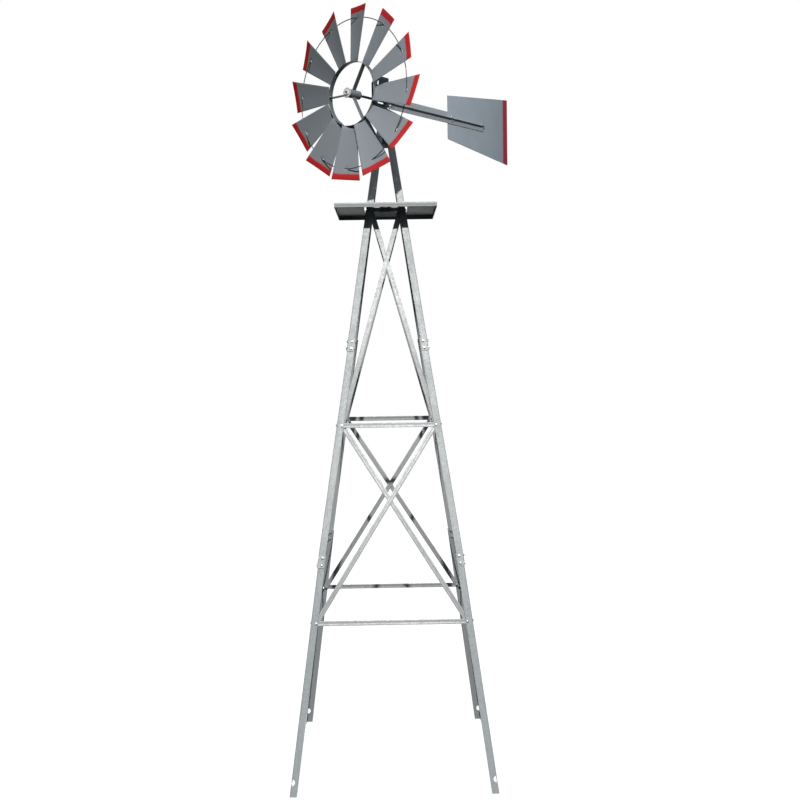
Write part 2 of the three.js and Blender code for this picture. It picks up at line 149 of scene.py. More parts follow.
def addSweep(bm, outline, stations, closed=False):
    # carries a closed outline, drawn in XY, through a list of placing matrices
    rings = [[bm.verts.new(m @ Vector((p[0], p[1], 0))) for p in outline] for m in stations]
    skinRings(bm, rings, closed)


def addTurned(bm, profile, place=Matrix.Identity(4), segments=48):
    # turns (radius, height) points about local Z; points on the axis close the end
    rings = []
    for radius, height in profile:
        if radius < 1e-7:
            rings.append([bm.verts.new(place @ Vector((0, 0, height)))])
            continue
        turns = [2 * math.pi * k / segments for k in range(segments)]
        rings.append([bm.verts.new(place @ polar(radius, a, height)) for a in turns])
    loop = rings + [rings[0]] if profile[0][0] > 1e-7 else rings
    for lower, upper in zip(loop, loop[1:]):
        for k in range(segments):
            n = (k + 1) % segments
            below = [lower[k % len(lower)], lower[n % len(lower)]]
            above = [upper[n % len(upper)], upper[k % len(upper)]]
            corners = []
            for v in below + above:
                if v not in corners:
                    corners.append(v)
            if len(corners) > 2:
                bm.faces.new(corners)


def shapeOf(item):
    # the mesh of an object with its modifiers worked in
    bpy.context.view_layer.update()
    return bpy.data.meshes.new_from_object(item.evaluated_get(bpy.context.evaluated_depsgraph_get()))


def plateMesh(name, outline, holes, thickness, edge=0.25 * mm):
    # a flat plate with softened edges, drawn in XY and centred on z = 0
    drawing = bpy.data.curves.new(name, "CURVE")
    drawing.dimensions = "2D"
    drawing.fill_mode = "BOTH"
    drawing.extrude = thickness / 2 - edge
    drawing.bevel_depth = edge
    drawing.bevel_resolution = 1
    drawing.offset = -edge
    for points in [outline] + holes:
        spline = drawing.splines.new("POLY")
        spline.points.add(len(points) - 1)
        for spot, p in zip(spline.points, points):
            spot.co = (p[0], p[1], 0, 1)
        spline.use_cyclic_u = True
    holder = newObject(name, drawing)
    bm = bmesh.new()
    bm.from_mesh(shapeOf(holder))
    bpy.data.objects.remove(holder)
    bmesh.ops.remove_doubles(bm, verts=bm.verts, dist=0.001 * mm)
    return meshFrom(bm, name)


def rectangle(halfWide, halfHigh):
    return [(-halfWide, -halfHigh), (halfWide, -halfHigh), (halfWide, halfHigh), (-halfWide, halfHigh)]


def circle(x, y, radius, count=20):
    return [
        (x + radius * math.cos(2 * math.pi * k / count), y + radius * math.sin(2 * math.pi * k / count))
        for k in range(count)
    ]


def stadium(halfLength, radius, count=10):
    turns = [-math.pi / 2 + math.pi * k / count for k in range(count + 1)]
    ends = [(halfLength + radius * math.cos(a), radius * math.sin(a)) for a in turns]
    return ends + [(-x, -y) for x, y in ends]


right = Vector((1, 0, 0))
back = Vector((0, 1, 0))
up = Vector((0, 0, 1))


def basis(xAxis, yAxis, zAxis, spot):
    turned = Matrix((xAxis, yAxis, zAxis)).transposed().to_4x4()
    return Matrix.Translation(spot) @ turned


def axlePlace(y=0):
    # local z along the shaft, towards the front
    return basis(right, up, -back, back * y)


def sidePlace(x, y, z):
    # local x towards the rear and local z out of the head's side
    return basis(back, up, right, Vector((x, y, z)))


def polar(radius, angle, height):
    return Vector((radius * math.cos(angle), radius * math.sin(angle), height))


def skinRings(bm, rings, closed=False):
    # joins each ring of points to the next, and the last to the first if it is closed
    for lower, upper in zip(rings, rings[1:] + (rings[:1] if closed else [])):
        for i in range(len(lower)):
            j = (i + 1) % len(lower)
            bm.faces.new((lower[i], lower[j], upper[j], upper[i]))
    if not closed:
        bm.faces.new(rings[0])
        bm.faces.new(rings[-1])


def addMesh(bm, mesh, place):
    extra = bmesh.new()
    extra.from_mesh(mesh)
    extra.transform(place)
    held = bpy.data.meshes.new("held")
    extra.to_mesh(held)
    extra.free()
    bm.from_mesh(held)
    bpy.data.meshes.remove(held)


# materials
class Nodes:
    def __init__(self, name, color, metallic, roughness):
        self.material = bpy.data.materials.new(name)
        self.material.use_nodes = True
        self.tree = self.material.node_tree
        self.shader = self.tree.nodes["Principled BSDF"]
        self.shader.inputs["Base Color"].default_value = (*color, 1)
        self.shader.inputs["Metallic"].default_value = metallic
        self.shader.inputs["Roughness"].default_value = roughness
        self.coords = self.add("ShaderNodeTexCoord").outputs["Object"]

    def add(self, kind, **values):
        node = self.tree.nodes.new(kind)
        for key, value in values.items():
            setattr(node, key, value)
        return node

    def link(self, source, target):
        self.tree.links.new(source, target)

    def stretched(self, scale):
        mapping = self.add("ShaderNodeMapping")
        mapping.inputs["Scale"].default_value = scale
        self.link(self.coords, mapping.inputs["Vector"])
        return mapping.outputs["Vector"]

    def noise(self, scale, detail=4, roughness=0.55, vector=None):
        node = self.add("ShaderNodeTexNoise")
        node.inputs["Scale"].default_value = scale
        node.inputs["Detail"].default_value = detail
        node.inputs["Roughness"].default_value = roughness
        self.link(vector or self.coords, node.inputs["Vector"])
        return node.outputs["Fac"]

    def spangle(self, scale):
        node = self.add("ShaderNodeTexVoronoi")
        node.inputs["Scale"].default_value = scale
        node.inputs["Randomness"].default_value = 1
        self.link(self.coords, node.inputs["Vector"])
        grey = self.add("ShaderNodeRGBToBW")
        self.link(node.outputs["Color"], grey.inputs["Color"])
        return grey.outputs["Val"]

    def fit(self, value, low, high, toLow, toHigh):
        node = self.add("ShaderNodeMapRange")
        node.clamp = True
        for key, number in zip(("From Min", "From Max", "To Min", "To Max"), (low, high, toLow, toHigh)):
            node.inputs[key].default_value = number
        self.link(value, node.inputs["Value"])
        return node.outputs["Result"]

    def math(self, kind, a, b):
        node = self.add("ShaderNodeMath", operation=kind)
        for socket, value in zip(node.inputs, (a, b)):
            if isinstance(value, (int, float)):
                socket.default_value = value
            else:
                self.link(value, socket)
        return node.outputs["Value"]

    def mix(self, amount, a, b):
        node = self.add("ShaderNodeMix", data_type="RGBA")
        if isinstance(amount, (int, float)):
            node.inputs["Factor"].default_value = amount
        else:
            self.link(amount, node.inputs["Factor"])
        for key, value in (("A", a), ("B", b)):
            socket = next(s for s in node.inputs if s.name == key and s.type == "RGBA")
            if isinstance(value, tuple):
                socket.default_value = (*value, 1)
            else:
                self.link(value, socket)
        return next(s for s in node.outputs if s.type == "RGBA")

    def finish(self, color=None, roughness=None, bump=(), metallic=None):
        for key, value in (("Base Color", color), ("Roughness", roughness), ("Metallic", metallic)):
            if value is not None:
                self.link(value, self.shader.inputs[key])
        previous = None
        for height, distance, strength in bump:
            node = self.add("ShaderNodeBump")
            node.inputs["Strength"].default_value = strength
            node.inputs["Distance"].default_value = distance
            self.link(height, node.inputs["Height"])
            if previous:
                self.link(previous, node.inputs["Normal"])
            previous = node.outputs["Normal"]
        if previous:
            self.link(previous, self.shader.inputs["Normal"])
        return self.material


def galvanised(name, light, dark, roughness, metallic=0.75, stains=0.25):
    n = Nodes(name, light, metallic, roughness)
    spangle = n.spangle(170)
    cloud = n.noise(9, 5)
    streak = n.noise(14, 4, vector=n.stretched((6, 6, 0.7)))
    grain = n.noise(900, 2)
    base = n.mix(n.fit(spangle, 0.2, 0.8, 0, 0.45), light, dark)
    base = n.mix(n.fit(cloud, 0.45, 0.75, 0, stains), base, dark)
    base = n.mix(n.fit(streak, 0.55, 0.8, 0, stains), base, tuple(c * 0.6 for c in dark))
    facet = n.fit(spangle, 0, 1, roughness - 0.06, roughness + 0.06)
    rough = n.math("ADD", facet, n.fit(cloud, 0.3, 0.8, -0.04, 0.08))
    return n.finish(base, rough, [(grain, 0.04 * mm, 0.35), (spangle, 0.03 * mm, 0.3)])


def painted(name, color, worn, roughness=0.5):
    n = Nodes(name, color, 0.25, roughness)
    cloud = n.noise(18, 5)
    peel = n.noise(1400, 2)
    dust = n.noise(55, 6)
    base = n.mix(n.fit(cloud, 0.4, 0.75, 0, 0.45), color, worn)
    base = n.mix(n.fit(dust, 0.56, 0.75, 0, 0.35), base, tuple(min(1, c * 2.1) for c in worn))
    rough = n.fit(cloud, 0.3, 0.75, roughness - 0.08, roughness + 0.12)
    return n.finish(base, rough, [(peel, 0.05 * mm, 0.4), (dust, 0.05 * mm, 0.15)])


def bareSteel(name, color, roughness, metallic=0.95):
    n = Nodes(name, color, metallic, roughness)
    drawn = n.noise(160, 4)
    dull = n.noise(35, 5)
    base = n.mix(n.fit(dull, 0.42, 0.72, 0, 0.5), color, tuple(c * 0.55 for c in color))
    rough = n.fit(drawn, 0.3, 0.7, roughness - 0.05, roughness + 0.12)
    return n.finish(base, rough, [(drawn, 0.03 * mm, 0.3)])


sheetPaint = {
    "grey": (0.345, 0.38, 0.415),
    "greyDull": (0.28, 0.305, 0.325),
    "red": (0.60, 0.022, 0.022),
    "redDark": (0.42, 0.014, 0.026),
    "overspray": (0.46, 0.28, 0.28),
    "roughness": 0.5,
    "metallic": 0.2,
}
vaneSheetPaint = dict(
    sheetPaint,
    grey=(0.41, 0.465, 0.52),
    greyDull=(0.33, 0.375, 0.42),
    red=(0.48, 0.03, 0.055),
    redDark=(0.34, 0.025, 0.05),
)


def sheetWithRedEdge(name, p, axis, edgeAt, bandWidth, softness):
    # grey sheet with a red sprayed band, measured along one of the piece's own axes
    n = Nodes(name, p["grey"], p["metallic"], p["roughness"])
    split = n.add("ShaderNodeSeparateXYZ")
    n.link(n.coords, split.inputs["Vector"])
    along = split.outputs[axis]
    cloud = n.noise(11, 5)
    wipe = n.noise(26, 4, vector=n.stretched((1, 1, 5)))
    speck = n.noise(420, 3)
    wander = n.noise(60, 3)
    base = n.mix(n.fit(cloud, 0.35, 0.75, 0, 0.6), p["grey"], p["greyDull"])
    base = n.mix(n.fit(wipe, 0.5, 0.8, 0, 0.25), base, p["greyDull"])
    wandered = n.math("ADD", along, n.fit(wander, 0.3, 0.7, -softness * 0.35, softness * 0.35))
    bandStart = edgeAt - bandWidth
    mist = n.fit(wandered, bandStart - softness * 1.6, bandStart + softness * 0.5, 0, 1)
    mist = n.math("MULTIPLY", mist, n.fit(speck, 0.35, 0.6, 0.2, 1))
    solid = n.fit(wandered, bandStart - softness * 0.25, bandStart + softness * 0.75, 0, 1)
    red = n.mix(n.fit(cloud, 0.4, 0.7, 0, 0.5), p["red"], p["redDark"])
    base = n.mix(n.math("MULTIPLY", mist, 0.55), base, p["overspray"])
    base = n.mix(solid, base, red)
    sheetRough = n.fit(cloud, 0.3, 0.75, p["roughness"] - 0.07, p["roughness"] + 0.09)
    rough = n.math("ADD", sheetRough, n.math("MULTIPLY", solid, 0.06))
    metal = n.fit(solid, 0, 1, p["metallic"], 0.08)
    return n.finish(base, rough, [(cloud, 0.35 * mm, 0.25), (speck, 0.02 * mm, 0.4)], metal)


legUpperMetal = galvanised("leg galvanised", (0.48, 0.50, 0.505), (0.39, 0.41, 0.42), 0.62, 0.4)
legLowerMetal = galvanised("leg galvanised dull", (0.42, 0.45, 0.46), (0.31, 0.34, 0.355), 0.60, 0.5)
barMetal = galvanised("flat bar galvanised", (0.53, 0.545, 0.545), (0.38, 0.40, 0.405), 0.58, 0.45, 0.4)
trayMetal = galvanised("platform sheet", (0.30, 0.315, 0.315), (0.23, 0.245, 0.25), 0.46, 0.5)
boomMetal = galvanised("boom galvanised", (0.47, 0.51, 0.54), (0.36, 0.40, 0.43), 0.55, 0.3)
slatePaint = painted("slate paint", (0.045, 0.058, 0.066), (0.075, 0.088, 0.095))
hoodPaint = painted("hood slate", (0.10, 0.135, 0.155), (0.14, 0.18, 0.20), 0.38)
wheelPaint = galvanised("wheel galvanised", (0.34, 0.36, 0.375), (0.25, 0.27, 0.285), 0.42, 0.7)
hubMetal = painted("hub grey", (0.26, 0.29, 0.31), (0.19, 0.21, 0.23), 0.40)
wireSteel = bareSteel("drawn wire", (0.20, 0.22, 0.225), 0.35)
shaftSteel = bareSteel("shaft steel", (0.10, 0.105, 0.11), 0.34)
zincBolt = bareSteel("zinc plated bolt", (0.80, 0.81, 0.80), 0.30)
noseZinc = bareSteel("nose washer zinc", (0.86, 0.86, 0.83), 0.45, 0.25)
bushMetal = bareSteel("bush steel", (0.12, 0.12, 0.11), 0.38)
print("materials mixed")

# bolts: hex heads outside, nuts and a little thread inside
boltSize = {
    "flats": 6.8 * mm,
    "head": 2.3 * mm,
    "nut": 3.0 * mm,
    "thread": 2.1 * mm,
    "tail": 1.2 * mm,
    "washer": 4.1 * mm,
    "washerThick": 0.6 * mm,
}


def addHex(bm, flats, bottom, top, place, segments=36, bothEnds=False, bore=0):
    # six flats with the corners turned off at the outer end, solid or with a clear bore
    apothem = flats / 2
    turns = [2 * math.pi * k / segments for k in range(segments)]
    reach = [apothem / math.cos((a + math.pi / 6) % (math.pi / 3) - math.pi / 6) for a in turns]
    drop = [(r - apothem * 0.97) * 0.6 for r in reach]
    flat = [0] * segments
    countersink = 0.5 * mm
    crown, hole, rim = ([r] * segments for r in (apothem * 0.93, bore, bore + countersink))
    levels = [(reach, bottom, drop if bothEnds else flat), (reach, top, [-d for d in drop])]
    levels.append((crown, top, flat))
    if bore:
        levels = [(hole, bottom, flat)] + levels + [(rim, top, flat), (hole, top - countersink, flat)]
    else:
        levels = [(crown, bottom, flat)] + levels
    rings = []
    for radii, height, shift in levels:
        spots = [polar(r, a, height + h) for r, a, h in zip(radii, turns, shift)]
        rings.append([bm.verts.new(place @ spot) for spot in spots])
    skinRings(bm, rings, closed=bore > 0)


def threadProfile(radius, low, high, pitch=0.8 * mm):
    turnsUp = max(2, int((high - low) / (pitch / 2)))
    profile = [(0, low)]
    for k in range(turnsUp + 1):
        depth = 0 if k % 2 else radius * 0.13
        profile.append((radius - depth, low + (high - low) * k / turnsUp))
    return profile + [(0, high)]


def addBolt(bm, place, grip, spacer=None, nut=True):
    # z = 0 is the outer face under the head, and the head stands up along +z
    b = boltSize
    spin = place @ Matrix.Rotation(random.uniform(0, math.pi / 3), 4, "Z")
    thick = b["washerThick"]
    washer = [(b["thread"] * 0.9, 0.02 * mm), (b["washer"], 0.02 * mm), (b["washer"], thick * 0.8)]
    washer += [(b["washer"] * 0.95, thick), (b["thread"] * 0.9, thick)]
    addTurned(bm, washer, spin, 28)
    addHex(bm, b["flats"], thick, thick + b["head"], spin)
    if not nut:
        return
    nutSpin = place @ Matrix.Rotation(random.uniform(0, math.pi / 3), 4, "Z")
    nutEnd = -grip - b["nut"]
    addHex(bm, b["flats"], nutEnd, -grip, nutSpin, bothEnds=True)
    addTurned(bm, threadProfile(b["thread"], nutEnd - b["tail"], nutEnd + 0.1 * mm), nutSpin, 20)
    if spacer:
        high, low = spacer
        ring = [(b["thread"], -high), (b["washer"], -high), (b["washer"], -low), (b["thread"], -low)]
        addTurned(bm, ring, place, 28)


def boltGroup(name, spots, body):
    bm = bmesh.new()
    for place, grip, spacer in spots:
        addBolt(bm, place, grip, spacer)
    linkPiece(name, bm, body, zincBolt, smooth=28)


# legs: rolled angles in three lapped sections
legSizes = {
    "flange": 22 * mm,
    "thick": 2 * mm,
    "gap": 0.3 * mm,
    "tuck": 0.45 * mm,  # room between lapped sections
    "heel": 2.6 * mm,
    "toe": 0.9 * mm,
    "root": 1.6 * mm,
}
legCorners = ["rear_right", "rear_left", "front_left", "front_right"]
pegNotch = {"height": 43 * mm, "radius": 11 * mm}
legSections = []
for part in ("lower", "middle", "upper"):
    low, high = nodeBox("leg_rear_right_" + part)
    topHalf = low.x + legSizes["flange"]
    legSections.append({
        "name": part,
        "bottom": low.z,
        "top": high.z,
        "half": high.x,
        "lean": (high.x - topHalf) / (high.z - low.z),
    })


def sectionAt(z):
    return [s for s in legSections if z >= s["bottom"] - 1e-6][-1]


def halfWidthAt(z):
    s = sectionAt(z)
    return s["half"] - s["lean"] * (z - s["bottom"])


def legMesh(section):
    g = legSizes
    a, t = g["flange"], g["thick"]
    outline = roundCorners(
        [(0, 0), (-a, 0), (-a, -t), (-t, -t), (-t, -a), (0, -a)],
        [g["heel"], 0.3 * mm, g["toe"], g["root"], g["toe"], 0.3 * mm],
    )
    bm = bmesh.new()
    stations = []
    steps = 12
    for k in range(steps + 1):
        z = section["bottom"] + (section["top"] - section["bottom"]) * k / steps
        half = section["half"] - section["lean"] * (z - section["bottom"])
        stations.append(Matrix.Translation((half, half, z)))
    addSweep(bm, outline, stations)
    mesh = meshFrom(bm, "leg_" + section["name"])
    if section["bottom"] > 1e-4:
        return mesh
    return cutNotch(mesh, section)


def cutNotch(mesh, section):
    # the corner opening that a ground peg goes through
    corner = section["half"] - section["lean"] * pegNotch["height"]
    bm = bmesh.new()
    place = Matrix.Translation((corner, corner, pegNotch["height"]))
    arc = [math.pi * k / 16 for k in range(17)]
    r = pegNotch["radius"]
    addTurned(bm, [(r * math.sin(a), -r * math.cos(a)) for a in arc], place, 40)
    tool = newObject("notch tool", meshFrom(bm, "notch tool"))
    leg = newObject("notched", mesh)
    cut = leg.modifiers.new("notch", "BOOLEAN")
    cut.operation = "DIFFERENCE"
    cut.solver = "EXACT"
    cut.object = tool
    done = shapeOf(leg)
    for item in (tool, leg):
        bpy.data.objects.remove(item)
    return done


def buildLegs():
    for section in legSections:
        mesh = legMesh(section)
        metal = legLowerMetal if section["name"] == "lower" else legUpperMetal
        for corner, turn in zip(legCorners, quarters):
            name = "leg_" + corner + "_" + section["name"]
            linkPiece(name + "_rolled", mesh.copy(), "tower", metal, turn, [name])
    print("legs rolled")


buildLegs()

# bars and braces
stripSizes = {
    "width": 15 * mm,
    "thick": 1.5 * mm,
    "layerGap": 0.5 * mm,
    "boltIn": 16.7 * mm,
    "barEndIn": 8 * mm,
    "shortBarEndIn": 3.7 * mm,
    "corner": 1.5 * mm,
    "edge": 0.3 * mm,
}
faces = ["front", "right", "rear", "left"]


def midHeight(node):
    low, high = nodeBox(node)
    return (low.z + high.z) / 2


barHeights = {
    "lower": midHeight("bar_front_lower"),
    "upper": midHeight("bar_front_upper"),
    "platform": midHeight("platform_bars"),
}


def layerDepth(layer):
    first = legSizes["thick"] + legSizes["gap"] + stripSizes["thick"] / 2
    return first + layer * (stripSizes["thick"] + stripSizes["layerGap"])


def stripSpot(side, fromCorner, z, layer):
    half = halfWidthAt(z)
    return Vector((side * (half - fromCorner), layerDepth(layer) - half, z))


def stripPlace(start, end):
    along = (end - start).normalized()
    facing = Vector((0, -1, sectionAt(start.z)["lean"]))
    facing = (facing - along * facing.dot(along)).normalized()
    return basis(along, facing.cross(along), facing, (start + end) / 2)


def barPiece(face, level, turn):
    g = stripSizes
    start = stripSpot(-1, g["barEndIn"], barHeights[level], 0)
    end = stripSpot(1, g["barEndIn"], barHeights[level], 0)
    reach = (end - start).length / 2
    outline = roundCorners(rectangle(reach, g["width"] / 2), g["corner"])
    holeAt = reach - (g["boltIn"] - g["barEndIn"])
    holes = [circle(side * holeAt, 0, boltSize["thread"] * 1.1) for side in (-1, 1)]
    name = "bar_" + face + "_" + level
    mesh = plateMesh(name, outline, holes, g["thick"], g["edge"])
    mesh.transform(stripPlace(start, end))
    linkPiece(name + "_strip", mesh, "tower", barMetal, turn, [name])


def bracePiece(face, bay, letter, turn):
    g = stripSizes
    side, layer = (1, 1) if letter == "a" else (-1, 2)
    levels = ("lower", "upper") if bay == "lower" else ("upper", "platform")
    start = stripSpot(-side, g["boltIn"], barHeights[levels[0]], layer)
    end = stripSpot(side, g["boltIn"], barHeights[levels[1]], layer)
    reach = (end - start).length / 2
    holes = [circle(s * reach, 0, boltSize["thread"] * 1.1) for s in (-1, 1)]
    name = "brace_" + face + "_" + bay + "_" + letter
    mesh = plateMesh(name, stadium(reach, g["width"] / 2), holes, g["thick"], g["edge"])
    mesh.transform(stripPlace(start, end))
    linkPiece(name + "_strip", mesh, "tower", barMetal, turn, [name])


def facePlace(side, fromCorner, z, turn):
    # on the outer face of a leg flange, with local z pointing out of the tower
    half = halfWidthAt(z)
    lean = sectionAt(z)["lean"]
    outward = Vector((0, -1, lean)).normalized()
    spot = Vector((side * (half - fromCorner), -half, z))
    return turn @ basis(right, outward.cross(right), outward, spot)


def buildBracing():
    g = stripSizes
    backOf = {layer: layerDepth(layer) + g["thick"] / 2 for layer in (0, 1, 2)}
    bolts = []
    for face, turn in zip(faces, quarters):
        for level in ("lower", "upper"):
            barPiece(face, level, turn)
        for bay in ("lower", "upper"):
            for letter in "ab":
                bracePiece(face, bay, letter, turn)
        for level in ("lower", "upper", "platform"):
            for side in (-1, 1):
                leftOnly = level == "lower" and side < 0 or level == "platform" and side > 0
                grip = backOf[1] if leftOnly else backOf[2]
                gapToFill = None if leftOnly or level == "upper" else (backOf[0], backOf[1])
                bolts.append((facePlace(side, g["boltIn"], barHeights[level], turn), grip, gapToFill))
    boltGroup("bar_bolts", bolts, "tower")
    print("bars and braces bolted")


buildBracing()

spliceBolts = {"fromCorner": 14 * mm, "heights": (8 * mm, 30 * mm)}


def buildSpliceBolts():
    spots = []
    grip = 2 * legSizes["thick"] + legSizes["tuck"]
    for section in legSections[1:]:
        for turn in quarters:
            for side in (-1, 1):
                for rise in spliceBolts["heights"]:
                    z = section["bottom"] + rise
                    spots.append((facePlace(side, spliceBolts["fromCorner"], z, turn), grip, None))
    boltGroup("splice_bolts", spots, "tower")
    print("splices bolted")


buildSpliceBolts()


# the four short bars under the platform
def buildPlatformBars():
    g = stripSizes
    bm = bmesh.new()
    for turn in quarters:
        start = stripSpot(-1, g["shortBarEndIn"], barHeights["platform"], 0)
        end = stripSpot(1, g["shortBarEndIn"], barHeights["platform"], 0)
        outline = roundCorners(rectangle((end - start).length / 2, g["width"] / 2), g["corner"])
        mesh = plateMesh("platform_bar", outline, [], g["thick"], g["edge"])
        addMesh(bm, mesh, turn @ stripPlace(start, end))
    linkPiece("platform_bars_strips", bm, "tower", barMetal, stands=["platform_bars"])


buildPlatformBars()

# platform: one folded sheet with mitred corners
traySizes = {
    "sheet": 1.2 * mm,
    "fold": 2.2 * mm,
    "hem": 5.2 * mm,
    "hemStep": 0.35 * mm,
    "holeAcross": 139 * mm,
    "holeDeep": 127 * mm,
    "tabWidth": 40 * mm,
    "tabInset": 58 * mm,
    "tabCorner": 2 * mm,
    "boltAt": (11 * mm, 66 * mm),
}


def traySection(lipDepth):
    # from the hole's edge out along the top, down the lip and back up its doubled hem; x is
    # measured from the outside of the lip
    g = traySizes
    t, fold, step = g["sheet"], g["fold"], g["hemStep"]
    soft = 0.5 * mm
    hemBack = -t - 0.6 * mm
    bends = [math.pi / 2 * k / 5 for k in range(6)]
    outside = [(-fold + fold * math.sin(a), -fold + fold * math.cos(a)) for a in bends]
    inner = fold - t
    inside = [(-fold + inner * math.sin(a), -fold + inner * math.cos(a)) for a in reversed(bends)]
    hemTop = -lipDepth + g["hem"]
    hem = [
        (0, hemTop + soft),
        (step, hemTop),
        (step, -lipDepth + soft),
        (0, -lipDepth),
        (-t - 0.3 * mm, -lipDepth),
        (hemBack, -lipDepth + soft),
        (hemBack, hemTop),
        (-t, hemTop),
    ]
    hem = [(x - step, z) for x, z in hem]
    return outside, hem, inside


def buildPlatform():
    g = traySizes
    low, high = nodeBox("platform")
    half = high.x
    outside, hem, inside = traySection(high.z - low.z)
    bm = bmesh.new()
    rings = []
    for sx, sy in ((-1, -1), (1, -1), (1, 1), (-1, 1)):
        hole = Vector((sx * g["holeAcross"] / 2, sy * g["holeDeep"] / 2, high.z))
        out = [(half + x, high.z + z) for x, z in outside + hem + inside]
        edge = [Vector((sx * x, sy * x, z)) for x, z in out]
        spots = [hole] + edge + [hole - up * g["sheet"]]
        rings.append([bm.verts.new(p) for p in spots])
    for here, there in zip(rings, rings[1:] + rings[:1]):
        for k in range(len(here)):
            n = (k + 1) % len(here)
            bm.faces.new((here[k], there[k], there[n], here[n]))
    linkPiece("platform_tray", bm, "tower", trayMetal, stands=["platform"])
    tabs = bmesh.new()
    deep = g["holeDeep"] / 2 - g["tabInset"]
    side = g["tabWidth"] / 2
    corner, joined = g["tabCorner"], 0.5 * mm
    tabShape = [(-side, -deep), (side, -deep), (side, joined), (-side, joined)]
    outline = roundCorners(tabShape, [corner, corner, 0, 0])
    tab = plateMesh("tab", outline, [], g["sheet"], 0.2 * mm)
    for turn in (quarters[0], quarters[2]):
        addMesh(tabs, tab, turn @ Matrix.Translation((0, g["holeDeep"] / 2, high.z - g["sheet"] / 2)))
    linkPiece("platform_tabs", tabs, "tower", trayMetal)
    x, y = g["boltAt"]
    spots = []
    for sx in (-1, 1):
        for sy in (-1, 1):
            spots.append((Matrix.Translation((sx * x, sy * y, high.z)), g["sheet"], None))
    boltGroup("platform_bolts", spots, "tower")
    print("platform folded")


buildPlatform()

# cap in the leg tops, with the spindle that the head turns on
capSizes = {
    "plate": 50 * mm,
    "spindle": 8 * mm,
    "chamfer": 1.5 * mm,
    "screwDown": 26 * mm,
    "screwFromCorner": 12 * mm,
}


def buildTowerCap():
    low, high = nodeBox("tower_cap")
    legTop = legSections[-1]["top"]
    plateLow = legTop + legSizes["gap"]
    plateHigh = nodeBox("head_bracket")[0].z - legSizes["gap"]
    bm = bmesh.new()
    inset = legSizes["thick"] + legSizes["gap"]
    stations = []
    for z in (low.z, legTop - 0.2 * mm):
        half = halfWidthAt(z) - inset
        stations.append(Matrix.Translation((0, 0, z)) @ Matrix.Diagonal((half, half, 1, 1)))
    addSweep(bm, roundCorners(rectangle(1, 1), 0.06), stations)
    linkPiece("cap_block", bm, "tower", slatePaint, stands=["tower_cap"])
    half = capSizes["plate"] / 2
    outline = roundCorners(rectangle(half, half), 4 * mm, 6)
    plate = plateMesh("cap_plate", outline, [], plateHigh - plateLow, 0.5 * mm)
    middle = Matrix.Translation((0, 0, (plateLow + plateHigh) / 2))
    linkPiece("cap_plate", plate, "tower", slatePaint, middle)
    r, c = capSizes["spindle"], capSizes["chamfer"]
    pin = bmesh.new()
    addTurned(pin, [(0, legTop), (r, legTop), (r, high.z - c), (r - c, high.z), (0, high.z)])
    linkPiece("head_spindle", pin, "tower", shaftSteel)
    heads = bmesh.new()
    z = legTop - capSizes["screwDown"]
    for turn in quarters:
        for side in (-1, 1):
            addBolt(heads, facePlace(side, capSizes["screwFromCorner"], z, turn), 0, nut=False)
    linkPiece("cap_screws", heads, "tower", zincBolt)
    print("tower capped")


buildTowerCap()

# head bracket: a bent strap round the shaft, welded on its pivot tube
strapSizes = {
    "width": 24 * mm,
    "thick": 3 * mm,
    "depth": 57 * mm,
    "aboveSpindle": 3.5 * mm,
    "bend": 5 * mm,
    "slope": (20 * mm, 18 * mm),  # how far the front corner is cut back, and down
    "rear": 6 * mm,
}
tubeSizes = {"outer": 11 * mm, "bore": 8.4 * mm, "chamfer": 0.6 * mm, "weld": 1.8 * mm}
tongueSizes = {"sheet": 1.2 * mm, "halfHigh": 5 * mm, "fromShaft": 11 * mm, "corner": 3 * mm}
shaftSizes = {
    "radius": 4 * mm,
    "chamfer": 0.6 * mm,
    "thread": 9 * mm,
    "grooves": 8,
    "grooveDepth": 0.45 * mm,
    "lockNut": (13 * mm, 1 * mm, 4.6 * mm),  # flats, then its near and far faces from the shaft's end
    "bush": 7 * mm,
    "flange": 9 * mm,
}


def closedStations(points):
    # points of a closed path in the (y, z) plane; local x of a station is the piece's width
    stations = []
    for i, p in enumerate(points):
        ahead = (Vector(points[(i + 1) % len(points)]) - Vector(points[i - 1])).normalized()
        tangent = Vector((0, ahead[0], ahead[1]))
        stations.append(basis(right, tangent.cross(right), tangent, Vector((0, p[0], p[1]))))
    return stations


def addWeld(bm, radius, thick, place, beads=18):
    # a level ring of overlapping weld ripples
    stations = []
    steps = beads * 4
    for k in range(steps):
        a = 2 * math.pi * k / steps
        swell = 1 + 0.22 * abs(math.sin(a * beads / 2)) + random.uniform(-0.05, 0.05)
        outward = polar(1, a, 0)
        spot = place @ (outward * radius)
        stations.append(basis(outward * swell, up * swell, outward.cross(up), spot))
    addSweep(bm, circle(0, 0, thick, 10), stations, closed=True)


